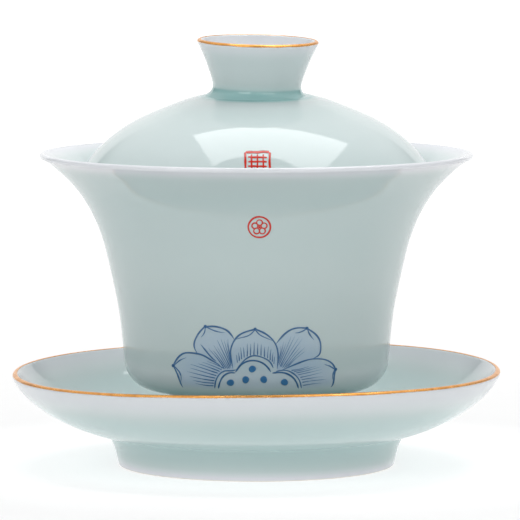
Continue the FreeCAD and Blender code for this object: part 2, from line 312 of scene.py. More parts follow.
def rested(vertices):
    """Points of the lid in millimetres, leaned the way the lid rests in the bowl's mouth."""
    return rocked(vertices, LID_ROCK_Z, "X", LID_PITCH) + LID_SHIFT


def leaned(vertices):
    """Points of the knob, leaned on the dome and with it."""
    return rested(rocked(vertices, LID_SEAT[1], "Y", KNOB_LEAN))


def sagged(vertices):
    """Points of the saucer, whose rim went a little wavy in the kiln."""
    x, y, z = np.asarray(vertices, float).T
    turn = np.arctan2(y, x)
    wave = SAG[0] + sum(
        SAG[2 * k - 1] * np.cos(k * turn) + SAG[2 * k] * np.sin(k * turn) for k in (1, 2, 3)
    )
    share = np.clip((np.hypot(x, y) - SAG_START) / (SAUCER_LIP[0] - SAG_START), 0, 1)
    return np.stack([x, y, z + wave * share ** SAG_CURVE], axis=1)


PLACED = {
    "saucer_dish": sagged,
    "saucer_gold_line": sagged,
    "lid_shell": rested,
    "lid_seal_lattice": rested,
    "knob_trumpet": leaned,
    "knob_gold_line": leaned,
}


# ---- meshes -----------------------------------------------------------------------------

def add_object(name, vertices, faces, body, nodes, attributes=()):
    """A smooth mesh object in the frame's axes, riding on a body and standing for CAD nodes."""
    mesh = bpy.data.meshes.new(name)
    placed = PLACED.get(name, np.asarray)(vertices)
    mesh.from_pydata((placed * MM).tolist(), [], faces)
    mesh.validate()
    mesh.polygons.foreach_set("use_smooth", [True] * len(mesh.polygons))
    for label, values in attributes:
        data = mesh.attributes.new(label, "FLOAT", "POINT").data
        data.foreach_set("value", np.asarray(values, np.float32))
    made = bpy.data.objects.new(name, mesh)
    bpy.context.scene.collection.objects.link(made)
    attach(made, body)
    if nodes:
        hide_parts(*nodes)
    return made


def lathe(section, angles):
    """Vertices, faces and section indices of a turned piece whose section starts and ends on the axis."""
    kept = section.sparse()
    ring_rows = kept[1:-1]
    r, z = section.line[ring_rows].T
    turns = len(angles)
    x = np.outer(r, np.cos(angles))
    y = np.outer(r, np.sin(angles))
    height = np.repeat(z[:, None], turns, axis=1)
    rings = np.stack([x, y, height], axis=2).reshape(-1, 3)
    ends = [(0, 0, section.line[0, 1]), (0, 0, section.line[-1, 1])]
    vertices = np.concatenate([rings, ends])
    rows = len(ring_rows)
    low, high = rows * turns, rows * turns + 1
    faces = []
    for i in range(rows - 1):
        for j in range(turns):
            k = (j + 1) % turns
            faces.append((i * turns + j, i * turns + k, (i + 1) * turns + k, (i + 1) * turns + j))
    last = (rows - 1) * turns
    for j in range(turns):
        k = (j + 1) % turns
        faces.append((low, k, j))
        faces.append((high, last + j, last + k))
    source = np.concatenate([np.repeat(ring_rows, turns), kept[[0, -1]]])
    return vertices, faces, source


def even_turn(count):
    return np.linspace(0, 2 * math.pi, count, endpoint=False)


def front_turn(half_width, fine, coarse):
    """Angles round the axis, close together within half_width degrees of the front."""
    front = np.arange(-half_width, half_width, fine)
    back = np.arange(half_width, 360 - half_width, coarse)
    return np.radians(np.concatenate([front, back]) - 90)


def turned_piece(name, section, angles, body, nodes, material, more=()):
    vertices, faces, source = lathe(section, angles)
    attributes = [("glaze", section.glaze[source]), ("bare", section.bare[source])]
    attributes += [(label, make(vertices)) for label, make in more]
    made = add_object(name, vertices, faces, body, nodes, attributes)
    made.data.materials.append(material)


# ---- materials --------------------------------------------------------------------------

class Nodes:
    """A material's node tree, with short calls for the nodes used here."""

    def __init__(self, name):
        self.material = bpy.data.materials.new(name)
        self.material.use_nodes = True
        self.tree = self.material.node_tree
        self.shader = self.tree.nodes["Principled BSDF"]
        self.place = self.add("ShaderNodeTexCoord").outputs["Object"]

    def add(self, kind, **settings):
        node = self.tree.nodes.new(kind)
        for key, value in settings.items():
            setattr(node, key, value)
        return node

    def link(self, start, end):
        self.tree.links.new(start, end)

    def put(self, socket, value):
        """Sets a socket, or links it if the value is another node's output."""
        if isinstance(value, bpy.types.NodeSocket):
            self.link(value, socket)
        else:
            socket.default_value = value

    def attribute(self, label):
        return self.add("ShaderNodeAttribute", attribute_name=label).outputs["Fac"]

    def noise(self, scale, detail=2.0, rough=0.5):
        node = self.add("ShaderNodeTexNoise")
        self.link(self.place, node.inputs["Vector"])
        node.inputs["Scale"].default_value = scale
        node.inputs["Detail"].default_value = detail
        node.inputs["Roughness"].default_value = rough
        return node.outputs["Fac"]

    def math(self, operation, first, second=0.0, clamp=False):
        node = self.add("ShaderNodeMath", operation=operation, use_clamp=clamp)
        self.put(node.inputs[0], first)
        self.put(node.inputs[1], second)
        return node.outputs[0]

    def spread(self, value, low, high):
        """A 0 to 1 value moved to the range from low to high."""
        node = self.add("ShaderNodeMapRange")
        self.link(value, node.inputs["Value"])
        node.inputs["To Min"].default_value = low
        node.inputs["To Max"].default_value = high
        return node.outputs["Result"]

    def ramp(self, value, stops):
        node = self.add("ShaderNodeValToRGB")
        self.link(value, node.inputs["Fac"])
        ramp = node.color_ramp
        while len(ramp.elements) < len(stops):
            ramp.elements.new(0.5)
        for element, (position, colour) in zip(ramp.elements, stops):
            element.position = position
            element.color = (*colour, 1)
        return node.outputs["Color"]

    def mix(self, share, first, second):
        node = self.add("ShaderNodeMix", data_type="RGBA")
        self.put(node.inputs["Factor"], share)
        self.put(node.inputs["A"], first if not isinstance(first, tuple) else (*first, 1))
        self.put(node.inputs["B"], second if not isinstance(second, tuple) else (*second, 1))
        return node.outputs["Result"]

    def bump(self, height, distance, strength=1.0):
        node = self.add("ShaderNodeBump")
        node.inputs["Strength"].default_value = strength
        node.inputs["Distance"].default_value = distance
        self.link(height, node.inputs["Height"])
        self.link(node.outputs["Normal"], self.shader.inputs["Normal"])


THIN_GLAZE = (0.71, 0.71, 0.755)      # where it has run off an edge, the white clay shows
MILKY_GLAZE = (0.60, 0.655, 0.665)
BODY_GLAZE = (0.505, 0.595, 0.592)
POOLED_GLAZE = (0.28, 0.49, 0.485)
BISCUIT = (0.80, 0.77, 0.71)          # unglazed fired clay
DARK_BISCUIT = (0.72, 0.69, 0.63)     # and its darker grains
WASH_BLUE = (0.17, 0.32, 0.60)
COBALT_LIGHT = (0.13, 0.26, 0.46)
COBALT_DARK = (0.018, 0.095, 0.235)
SEED_LIGHT = (0.08, 0.24, 0.46)
SEED_DARK = (0.025, 0.145, 0.35)
SEAL_LIGHT = (0.62, 0.10, 0.07)
SEAL_RED = (0.60, 0.022, 0.012)
BLACK = (0, 0, 0)
WHITE = (1, 1, 1)

# Noise scales, in features per metre.
CLOUDS = 45               # cloudiness in the glaze
GLOSS_PATCHES = 130
RIPPLES = 70
FINE_RIPPLES = 520
CLAY_GRAIN = 2600
WASH_STREAKS = 900
PAINT_GRAIN = 1500
GILT_BRUSHING = 420
GILT_GRAIN = 1800

GLAZE_IOR = 1.52
GLAZE_DEPTH = 0.0015      # how far light goes in under the glaze, in metres


def glaze_colour(nodes):
    """Celadon by the depth of the glaze, with a faint cloudiness; that depth also holds painted shade,
    over the saucer's underside flank and in part under the bowl's lower corner.
    """
    cloud = nodes.spread(nodes.noise(CLOUDS, 3), -0.045, 0.045)
    depth = nodes.math("ADD", nodes.attribute("glaze"), cloud, clamp=True)
    return nodes.ramp(depth, [
        (0.0, THIN_GLAZE), (0.28, MILKY_GLAZE), (0.46, BODY_GLAZE), (1.0, POOLED_GLAZE),
    ])


def finish_glaze(nodes, colour, bare=None):
    """A glossy surface with faint ripples, or bare grainy clay where the glaze was wiped off."""
    gloss = nodes.spread(nodes.noise(GLOSS_PATCHES, 2), 0.045, 0.095)
    if bare is not None:
        grain = nodes.mix(nodes.noise(CLAY_GRAIN, 2), DARK_BISCUIT, BISCUIT)
        colour = nodes.mix(bare, colour, grain)
        gloss = nodes.math("ADD", gloss, nodes.math("MULTIPLY", bare, 0.6))
    nodes.link(colour, nodes.shader.inputs["Base Color"])
    nodes.link(gloss, nodes.shader.inputs["Roughness"])
    fine_ripple = nodes.math("MULTIPLY", nodes.noise(FINE_RIPPLES, 2), 0.12)
    nodes.bump(nodes.math("ADD", nodes.noise(RIPPLES, 1), fine_ripple), 0.00010, 0.35)
    nodes.shader.inputs["IOR"].default_value = GLAZE_IOR
    nodes.shader.inputs["Subsurface Weight"].default_value = 0.12
    nodes.shader.inputs["Subsurface Radius"].default_value = (1.0, 1.0, 1.0)
    nodes.shader.inputs["Subsurface Scale"].default_value = GLAZE_DEPTH
    return nodes.material


def glaze_material(name, washed=False):
    nodes = Nodes(name)
    colour = glaze_colour(nodes)
    if washed:
        streak = nodes.spread(nodes.noise(WASH_STREAKS, 3, 0.6), 0.75, 1.2)
        share = nodes.math("MULTIPLY", nodes.attribute("wash"), streak, clamp=True)
        colour = nodes.mix(share, colour, WASH_BLUE)
    return finish_glaze(nodes, colour, nodes.attribute("bare"))


def between(first, second, share):
    """A colour part of the way from the first to the second."""
    return tuple(a + (b - a) * share for a, b in zip(first, second))


def paint_material(name, light, dark, wash):
    """Paint by its depth, which fades at a stroke's edges into glaze with the given share of wash."""
    nodes = Nodes(name)
    ground = between(BODY_GLAZE, WASH_BLUE, wash)
    darker = between(ground, BLACK, 0.03)
    lighter = between(ground, WHITE, 0.02)
    cloudy = nodes.mix(nodes.noise(CLOUDS, 3), darker, lighter)
    grain = nodes.spread(nodes.noise(PAINT_GRAIN, 3, 0.6), 0.78, 1.18)
    depth = nodes.math("MULTIPLY", nodes.attribute("ink"), grain, clamp=True)
    paint = nodes.mix(depth, light, dark)
    cover = nodes.math("MULTIPLY", depth, 2.0, clamp=True)
    return finish_glaze(nodes, nodes.mix(cover, cloudy, paint))


def gilt_material():
    """Burnished gold line, thinner and browner where the brush ran dry."""
    nodes = Nodes("gilt")
    brushed = nodes.noise(GILT_BRUSHING, 4, 0.65)
    colour = nodes.ramp(brushed, [
        (0.30, (0.62, 0.25, 0.05)), (0.55, (0.84, 0.39, 0.10)), (0.8, (0.90, 0.50, 0.18)),
    ])
    nodes.link(colour, nodes.shader.inputs["Base Color"])
    nodes.link(nodes.spread(brushed, 0.36, 0.20), nodes.shader.inputs["Roughness"])
    nodes.shader.inputs["Metallic"].default_value = 0.85
    nodes.bump(nodes.noise(GILT_GRAIN, 3), 0.00004, 0.5)
    return nodes.material


# ---- brush strokes on the glaze ---------------------------------------------------------

class Ground:
    """The outer side of a turned piece, for painting on: a place is (x, z) seen from the front."""

    def __init__(self, section, low, high, outermost):
        r, z = section.line.T
        facing = section.normal[:, 0] > 0
        kept = (z >= low) & (z <= high) & (r >= outermost) & facing
        order = np.argsort(z[kept])
        self.z = z[kept][order]
        self.r = r[kept][order]
        self.normal = section.normal[kept][order]

    def place(self, x, z, lift):
        """Points on the surface, moved out along its normal by lift."""
        lean = np.interp(z, self.z, self.normal[:, 0])
        rise = np.interp(z, self.z, self.normal[:, 1])
        r = np.interp(z, self.z, self.r)
        turn = np.arcsin(np.clip(x / r, -1, 1))
        out = r + lift * lean
        return np.stack([out * np.sin(turn), -out * np.cos(turn), z + lift * rise], axis=1)


class Brush:
    """Collects strokes painted on one ground into one mesh."""

    ACROSS = np.array([-1.0, -0.55, 0.0, 0.55, 1.0, 0.0])      # places across a stroke
    HEIGHT = np.array([0.0, 0.75, 1.0, 0.75, 0.0, -1.4])       # of each, in paint thicknesses
    INK = np.array([0.0, 0.75, 1.0, 0.75, 0.0, 1.0])           # depth of the paint at each
    PAINT = 0.022                                              # thickness of the paint
    STEP = 0.16                                                # between points along a stroke
    THINNEST = 0.06                                            # share of the width left at an end

    # A dot's rings from the middle outwards: share of its radius, depth and height of the paint.
    # The last ring and the second middle close it under the surface of the glaze.
    DOT_RINGS = [(0.35, 1.0, 1.0), (0.62, 0.92, 0.9), (0.84, 0.6, 0.6), (1.0, 0.0, 0.0), (0.5, 1.0, -1.2)]
    DOT_MIDDLES = (1.0, -1.2)
    DOT_TURNS = 28

    def __init__(self, ground):
        self.ground = ground
        self.vertices = []
        self.faces = []
        self.ink = []
        self.count = 0

    def stroke(self, points, width, ink=1.0, taper=(0.3, 0.3), wobble=0.03, closed=False):
        """Paints along points, given as (x, z).

        Taper is the share of the length over which each end thins.
        """
        line = evenly(np.asarray(points, float), self.STEP)
        count = len(line)
        if count < 4:
            return
        along = np.linspace(0, 1, count)
        full = np.ones(count)
        if not closed:
            if taper[0]:
                full = np.minimum(full, np.sqrt(np.clip(along / taper[0], 0, 1)))
            if taper[1]:
                full = np.minimum(full, np.sqrt(np.clip((1 - along) / taper[1], 0, 1)))
        pace = np.interp(along, np.linspace(0, 1, 7), RANDOM.uniform(0.85, 1.15, 7))
        half = width / 2 * np.maximum(full, self.THINNEST) * pace
        strength = ink * (0.55 + 0.45 * full) * pace
        if wobble:
            drift = np.interp(along, np.linspace(0, 1, 5), RANDOM.normal(0, wobble, 5))
        else:
            drift = np.zeros(count)
        ahead = np.gradient(line, axis=0)
        if closed:
            ahead[0] = ahead[-1] = line[1] - line[-2]
            drift[-1] = drift[0]
            half[-1] = half[0]
        size = np.linalg.norm(ahead, axis=1, keepdims=True)
        side = np.stack([-ahead[:, 1], ahead[:, 0]], axis=1) / size
        start = self.count
        for share, height, depth in zip(self.ACROSS, self.HEIGHT, self.INK):
            place = line + side * (drift + share * half)[:, None]
            self.vertices.append(self.ground.place(place[:, 0], place[:, 1], height * self.PAINT))
            self.ink.append(np.clip(strength * depth, 0, 1))
        around = len(self.ACROSS)
        for k in range(around):
            after = (k + 1) % around
            for i in range(count - 1):
                a, b = start + k * count + i, start + after * count + i
                self.faces.append((a, a + 1, b + 1, b))
        first = [start + k * count for k in range(around)]
        final = [start + k * count + count - 1 for k in range(around)]
        if closed:
            for k in range(around):
                after = (k + 1) % around
                self.faces.append((final[k], first[k], first[after], final[after]))
        else:
            self.faces.append(tuple(first))
            self.faces.append(tuple(reversed(final)))
        self.count += around * count

    def dot(self, x, z, radius, ink=0.8):
        """A round touch of the brush, a little uneven."""
        turns = even_turn(self.DOT_TURNS)
        two_waves = 0.05 * np.sin(2 * turns + RANDOM.uniform(0, 6))
        three_waves = 0.03 * np.sin(3 * turns + RANDOM.uniform(0, 6))
        uneven = 1 + two_waves + three_waves
        start = self.count
        rows = self.DOT_RINGS
        for share, depth, height in rows:
            px = x + radius * share * uneven * np.cos(turns)
            pz = z + radius * share * uneven * np.sin(turns)
            self.vertices.append(self.ground.place(px, pz, height * self.PAINT))
            self.ink.append(np.full(len(turns), depth * ink))
        for height in self.DOT_MIDDLES:
            self.vertices.append(self.ground.place(np.array([x]), np.array([z]), height * self.PAINT))
            self.ink.append(np.array([ink]))
        size = len(turns)
        top = start + len(rows) * size
        for j in range(size):
            k = (j + 1) % size
            self.faces.append((top, start + j, start + k))
            for row in range(len(rows) - 1):
                a, b = start + row * size, start + (row + 1) * size
                self.faces.append((a + j, b + j, b + k, a + k))
            under = start + (len(rows) - 1) * size
            self.faces.append((top + 1, under + k, under + j))
        self.count = top + 2

    def finish(self, name, body, nodes, material):
        made = add_object(
            name, np.concatenate(self.vertices), self.faces, body, nodes,
            [("ink", np.concatenate(self.ink))],
        )
        made.data.materials.append(material)


# ---- the lotus --------------------------------------------------------------------------

class Petal:
    """A lotus petal as painted: both sides from base to tip, its curled edges and its veins.

    Places are (x, z) seen from the front. The veins run from one line to the other.
    """

    def __init__(self, left, right, folds, veins, roots, ends, ink):
        self.left = spline(left, PAINT_STEP)
        self.right = spline(right, PAINT_STEP)
        self.folds = [spline(fold, PAINT_STEP) for fold in folds]
        self.veins = veins
        self.roots = spline(roots, PAINT_STEP)
        self.ends = spline(ends, PAINT_STEP)
        self.ink = ink
        self.base = (np.array(left[0]) + np.array(right[0])) / 2
        self.tip = np.array(left[-1])

    def outline(self):
        return np.concatenate([self.left, self.right[::-1]])

    def vein(self, share, shorter):
        """A line from the roots towards the ends, at a share of the way across."""
        root = self.roots[int(share * (len(self.roots) - 1))]
        end = self.ends[int(share * (len(self.ends) - 1))]
        reach = end - root
        bow = 0.03 * np.array([-reach[1], reach[0]]) * (2 * share - 1)
        return spline([root, root + reach * shorter / 2 + bow, root + reach * shorter], PAINT_STEP)

    def rise(self, places):
        """How far up the petal places are, 0 at the base and 1 at the tip."""
        reach = self.tip - self.base
        return np.clip((places - self.base) @ reach / (reach @ reach), 0, 1)


def inside(places, outline):
    """Which places lie in a closed outline."""
    x, z = places[:, 0], places[:, 1]
    found = np.zeros(len(places), bool)
    for (ax, az), (bx, bz) in zip(outline, np.roll(outline, -1, axis=0)):
        crosses = (az > z) != (bz > z)
        if az != bz:
            found ^= crosses & (x < ax + (z - az) * (bx - ax) / (bz - az))
    return found


POD_LOBES = [(-5.3, 20.9, 4.05), (-0.3, 23.0, 5.4), (5.9, 20.6, 4.3)]   # x, z and radius
LOTUS_BASE_Z = 20.4                  # the drawing stops here, just above the bowl's lower corner
SEEDS = [(-5.8, 22.15), (-2.4, 22.9), (-0.9, 25.35), (1.65, 22.95), (6.3, 22.25)]
SEED_R = 0.86
POD_INNER = [                        # the dark scalloped line round the seeds
    [(-8.5, 20.6), (-8.07, 22.5), (-6.95, 24.0), (-5.5, 24.5), (-4.7, 24.4)],
    [(-4.7, 24.5), (-3.3, 26.4), (-1.6, 27.2), (0.1, 27.2), (1.85, 26.4), (3.3, 24.6)],
    [(3.5, 24.4), (5.8, 24.5), (7.6, 23.8), (8.9, 22.3), (9.45, 20.6)],
]
POD_OUTER = [                        # and the one outside it
    [(-9.35, 20.6), (-9.2, 22.1), (-8.6, 23.6), (-7.1, 24.8), (-5.2, 24.95), (-4.5, 25.2)],
    [(-4.4, 25.3), (-3.0, 27.0), (-1.6, 28.1), (-0.3, 28.4), (1.3, 28.0), (3.0, 27.0), (3.8, 25.5)],
    [(4.3, 24.75), (6.3, 25.0), (8.2, 24.3), (9.6, 22.6), (10.15, 20.6)],
]

# The middle petal, then the two low ones, then the two high ones. A petal hides those after it.
PETALS = [
    Petal(
        left=[(-3.6, 22.5), (-5.0, 24.6), (-5.5, 26.8), (-5.8, 29.1),
              (-5.2, 31.3), (-4.2, 32.7), (-2.6, 33.7), (-0.3, 34.4)],
        right=[(3.0, 22.5), (4.5, 24.8), (4.8, 26.5), (4.9, 28.2),
               (4.6, 30.2), (3.7, 31.9), (2.0, 33.4), (-0.3, 34.4)],
        folds=[[(-0.3, 34.3), (-1.85, 32.9), (-3.8, 32.35), (-4.9, 31.9)],
               [(-0.3, 34.3), (1.0, 33.0), (2.4, 32.3), (3.8, 31.7)]],
        veins=14,
        roots=[(-4.5, 25.2), (-3.0, 27.1), (-1.6, 28.15),
               (-0.3, 28.4), (1.3, 28.1), (3.0, 27.0), (4.2, 25.0)],
        ends=[(-4.7, 28.6), (-3.4, 30.4), (-1.7, 31.3),
              (-0.3, 31.6), (1.4, 31.2), (3.2, 30.0), (4.4, 28.0)],
        ink=0.95,
    ),
    Petal(
        left=[(-8.6, 20.3), (-11, 19.6), (-14, 19.6),
              (-16.4, 20.4), (-17.1, 21.6), (-17.9, 23.8), (-18.7, 25.4)],
        right=[(-7.6, 25.2), (-8.2, 26.0), (-9.8, 27.0), (-12.0, 28.2),
               (-14.4, 28.6), (-16.3, 28.4), (-17.8, 27.1), (-18.7, 25.4)],
        folds=[[(-18.5, 25.5), (-17.2, 26.7), (-15.7, 27.5)],
               [(-18.5, 25.3), (-17.3, 24.0), (-16.95, 22.2), (-17.1, 21.6)]],
        veins=9,
        roots=[(-6.9, 25.4), (-8.3, 24.5), (-9.2, 22.9), (-9.6, 20.9)],
        ends=[(-11.8, 27.3), (-13.9, 26.5), (-15.6, 25.2), (-15.9, 23.3), (-14.4, 21.5)],
        ink=0.95,
    ),
    Petal(
        left=[(5.1, 24.8), (7.1, 25.6), (9.6, 26.6), (12.0, 27.3),
              (14.1, 27.3), (16.3, 26.6), (17.4, 25.5), (17.8, 24.6)],
        right=[(8.6, 20.3), (12, 19.4), (15.5, 19.8), (16.9, 20.6), (17.5, 22.9), (17.8, 24.6)],
        folds=[[(17.6, 24.5), (17.2, 23.4), (17.15, 22.3)],
               [(17.6, 24.7), (16.4, 25.5), (15.2, 26.0)]],
        veins=8,
        roots=[(7.6, 25.0), (9.1, 24.1), (10.0, 22.8), (10.4, 21.1)],
        ends=[(12.4, 25.9), (14.2, 25.4), (15.6, 24.4), (15.9, 23.1), (15.4, 21.3)],
        ink=0.72,
    ),
    Petal(
        left=[(-6.3, 24.0), (-9.5, 25.6), (-12.3, 27.6), (-13.7, 29.3),
              (-14.0, 30.4), (-13.5, 32.2), (-12.6, 33.6), (-11.4, 34.8)],
        right=[(-4.6, 25), (-4.4, 28), (-4.5, 31.0),
               (-5.3, 32.6), (-6.6, 34.05), (-8.7, 34.8), (-11.4, 34.8)],
        folds=[[(-11.2, 34.7), (-9.3, 33.9), (-6.8, 33.5)],
               [(-11.4, 34.7), (-11.75, 33.2), (-12.4, 32.2)]],
        veins=9,
        roots=[(-7.2, 25.5), (-6.0, 25.3), (-5.6, 26.2), (-5.7, 27.4)],
        ends=[(-10.8, 29.6), (-9.5, 31.2), (-8.2, 32.2), (-7.0, 32.6), (-6.1, 31.6)],
        ink=0.85,
    ),
    Petal(
        left=[(3.9, 25), (3.6, 28), (4.2, 30.6),
              (5.3, 32.2), (6.6, 33.5), (8.8, 34.5), (11.3, 34.4)],
        right=[(5.6, 24.6), (9, 26.0), (12.3, 27.3), (14.2, 28.4),
               (14.45, 29.6), (14.3, 31.3), (13.1, 33.1), (11.3, 34.4)],
        folds=[[(11.2, 34.3), (10.3, 33.75), (8.6, 33.4)],
               [(11.4, 34.3), (12.1, 32.7), (13.0, 31.6)]],
        veins=10,
        roots=[(5.0, 27.4), (5.0, 26.2), (5.8, 25.5), (7.2, 25.9)],
        ends=[(5.4, 30.9), (6.6, 32.0), (8.2, 32.6), (9.9, 32.3), (11.2, 30.8), (11.8, 29.4)],
        ink=0.6,
    ),
]
BOLD_STROKE = [(-12.5, 30.7), (-11.0, 28.9), (-9.7, 27.5), (-8.9, 26.9)]   # in the high left petal
SIDE_WIDTH = 0.44                    # widths of the strokes
FOLD_WIDTH = 0.34
VEIN_WIDTHS = (0.24, 0.32)
BOLD_WIDTH = 0.42
TIP_R = 0.42
POD_INNER_WIDTH = 0.44
POD_OUTER_WIDTH = 0.38
POD_WASH = 0.20                      # share of blue in the glaze of the pod
PETAL_WASH = 0.50                    # and at a petal's base
PETAL_WASH_FALL = 0.24               # how much less of it there is at the petal's tip
WASH_START_Z = LOTUS_BASE_Z - 0.3    # the wash begins here
WASH_FADE = 1.4                      # and comes up to its depth over this height
LOTUS_HALF_WIDTH = 21                # the lotus lies within this of the middle
LOTUS_TOP_Z = 36
BOWL_OUTSIDE_R = 27.0                # over the lotus, only the bowl's outer side is this far out


def in_pod(places):
    found = np.zeros(len(places), bool)
    for x, z, radius in POD_LOBES:
        found |= np.hypot(places[:, 0] - x, places[:, 1] - z) < radius
    return found


def visible_runs(points, hidden):
    """The stretches of a line of points that nothing in front hides."""
    points = evenly(np.asarray(points, float), 0.12)
    shown = ~hidden(points) & (points[:, 1] >= LOTUS_BASE_Z)
    runs = []
    run = []
    for point, seen in zip(points, shown):
        if seen:
            run.append(point)
        elif run:
            runs.append(run)
            run = []
    if run:
        runs.append(run)
    return [np.array(run) for run in runs if len(run) > 5]


def petal_hider(number):
    """A test for what the pod and the petals in front of this one hide."""
    fronts = [petal.outline() for petal in PETALS[:number]]

    def hidden(places):
        found = in_pod(places)
        for outline in fronts:
            found |= inside(places, outline)
        return found

    return hidden


def paint_petals(brush):
    for number, petal in enumerate(PETALS):
        hidden = petal_hider(number)
        for side in (petal.left, petal.right):
            for run in visible_runs(side, hidden):
                brush.stroke(run, SIDE_WIDTH, 0.85, taper=(0.25, 0.04), wobble=0.02)
        for fold in petal.folds:
            brush.stroke(fold, FOLD_WIDTH, 0.72, taper=(0.04, 0.5), wobble=0.02)
        brush.dot(petal.tip[0], petal.tip[1], TIP_R, 1.0)
        for share in np.linspace(0.04, 0.96, petal.veins):
            line = petal.vein(share, RANDOM.uniform(0.82, 1.05))
            for run in visible_runs(line, hidden):
                width = RANDOM.uniform(*VEIN_WIDTHS)
                ink = petal.ink * RANDOM.uniform(0.8, 1.05)
                brush.stroke(run, width, ink, taper=(0.04, 0.9), wobble=0.01)
    brush.stroke(spline(BOLD_STROKE, PAINT_STEP), BOLD_WIDTH, 0.9, taper=(0.3, 0.2), wobble=0.0)


def paint_pod(brush):
    """Two scalloped lines round the pod."""
    for lines, width, ink in ((POD_OUTER, POD_OUTER_WIDTH, 0.78), (POD_INNER, POD_INNER_WIDTH, 0.95)):
        for line in lines:
            brush.stroke(spline(line, PAINT_STEP), width, ink, taper=(0.08, 0.08), wobble=0.015)


def lotus_wash(vertices):
    """Thin cobalt on each vertex of the bowl: in the pod, and in the petals, deepest at their bases."""
    x, y, z = vertices.T
    in_front = (y < 0) & (np.hypot(x, y) > BOWL_OUTSIDE_R) & (np.abs(x) < LOTUS_HALF_WIDTH)
    chosen = np.where(in_front & (z > WASH_START_Z) & (z < LOTUS_TOP_Z))[0]
    spots = np.stack([x, z], axis=1)[chosen]
    pod = in_pod(spots)
    still_open = ~pod
    values = np.where(pod, POD_WASH, 0.0)
    for petal in PETALS:
        held = still_open & inside(spots, petal.outline())
        values[held] = (PETAL_WASH - PETAL_WASH_FALL * petal.rise(spots))[held]
        still_open &= ~held
    depth = np.zeros(len(vertices))
    depth[chosen] = values * np.clip((spots[:, 1] - WASH_START_Z) / WASH_FADE, 0, 1)
    return depth


# ---- the seals --------------------------------------------------------------------------

ROUND_SEAL = (0.7, 57.8, 2.43)       # x, z and radius
ROUND_SEAL_LINE = 0.46
FLORET_LINE = 0.38
PETAL_COUNT = 5
SQUARE_SEAL = (0.15, 73.45, 5.4, 3.8)   # x, z, width and height
SQUARE_SEAL_LINE = 0.56
LATTICE_LINE = 0.44
LATTICE_INSET = 0.1                  # gap round the lattice, as a share of the frame


def paint_round_seal(brush, x, z, radius):
    """A ring with a plain five-petalled floret inside it."""
    turn = np.linspace(90, 450, 80)
    ring = np.stack(on_circle((x, z), radius, turn), axis=1)
    brush.stroke(ring, ROUND_SEAL_LINE, wobble=0.05, closed=True)
    reach = 0.44 * radius
    for number in range(PETAL_COUNT):
        heading = 90 + 72 * number
        centre = on_circle((x, z), reach, heading)
        turn = np.linspace(heading - 180, heading + 180, 36)
        loop = np.stack(on_circle(centre, 0.27 * radius, turn), axis=1)
        brush.stroke(loop, FLORET_LINE, wobble=0.02, closed=True)
    brush.dot(x, z, 0.32, 1.0)


def paint_square_seal(brush, x, z, width, height):
    """A frame crossed by a plain lattice."""
    left, right, low, high = x - width / 2, x + width / 2, z - height / 2, z + height / 2
    levels = ((left, low), (right, low)), ((left, high), (right, high))
    uprights = ((left, low), (left, high)), ((right, low), (right, high))
    for start, end in levels + uprights:
        brush.stroke([start, end], SQUARE_SEAL_LINE, taper=(0.02, 0.02), wobble=0.04)
    for share in (0.26, 0.5, 0.74):
        across = left + share * width
        up = low + share * height
        upright = [(across, low + LATTICE_INSET * height), (across, high - LATTICE_INSET * height)]
        level = [(left + LATTICE_INSET * width, up), (right - LATTICE_INSET * width, up)]
        for bar in (upright, level):
            brush.stroke(bar, LATTICE_LINE, taper=(0.04, 0.04))


# ---- gilding ----------------------------------------------------------------------------

GILT_THICKNESS = 0.035
GILT_WAVER = 2.2                     # degrees round the lip by which a wave moves the edges
SAUCER_GILT_SPAN = (18, 118)         # degrees round the lip, from its outer side to its top
KNOB_GILT_SPAN = (6, 118)

# Places across the band: the share of the way across, and the height in thicknesses of gilt.
GILT_ACROSS = [(0.0, 0.0), (0.12, 1.0), (0.35, 1.15), (0.65, 1.15), (0.88, 1.0), (1.0, 0.0), (0.5, -1.5)]


def wavering(turns, waves):
    """A sum of waves round the rim, each of a chance height and phase."""
    return sum(RANDOM.uniform(0.5, 1.0) * np.sin(k * turns + RANDOM.uniform(0, 6)) for k in waves)


def gilt_ring(name, lip, radius, span, body, nodes, material):
    """A thin gold band on a rounded lip, whose edges waver as a brush leaves them."""
    turns = even_turn(360)
    low_edge = span[0] + GILT_WAVER * wavering(turns, (3, 7, 12, 19))
    high_edge = span[1] + GILT_WAVER * wavering(turns, (4, 9, 14, 23))
    rings = []
    for share, height in GILT_ACROSS:
        angle = low_edge * (1 - share) + high_edge * share
        r, z = on_circle(lip, radius + GILT_THICKNESS * height, angle)
        rings.append(np.stack([r * np.cos(turns), r * np.sin(turns), z], axis=1))
    count = len(turns)
    faces = []
    for k in range(len(GILT_ACROSS)):
        after = (k + 1) % len(GILT_ACROSS)
        for i in range(count):
            j = (i + 1) % count
            faces.append((k * count + i, k * count + j, after * count + j, after * count + i))
    made = add_object(name, np.concatenate(rings), faces, body, nodes)
    made.data.materials.append(material)


# ---- building the set -------------------------------------------------------------------

plain_glaze = glaze_material("celadon_glaze_plain")
washed_glaze = glaze_material("celadon_glaze_washed", washed=True)
cobalt = paint_material("cobalt", COBALT_LIGHT, COBALT_DARK, 0.4)
seed_cobalt = paint_material("cobalt_dots", SEED_LIGHT, SEED_DARK, 0.24)
enamel = paint_material("seal_enamel", SEAL_LIGHT, SEAL_RED, 0.0)
gold = gilt_material()

saucer = saucer_section()
bowl = bowl_section()
lid = lid_section()
knob = knob_section()

turned_piece("saucer_dish", saucer, even_turn(256), "saucer", ["saucer"], plain_glaze)
turned_piece("bowl_body", bowl, front_turn(46, 0.5, 2.0), "bowl", ["bowl"], washed_glaze,
             [("wash", lotus_wash)])
turned_piece("lid_shell", lid, even_turn(220), "lid", ["lid_dome"], plain_glaze)
turned_piece("knob_trumpet", knob, even_turn(160), "lid", ["lid_knob"], plain_glaze)

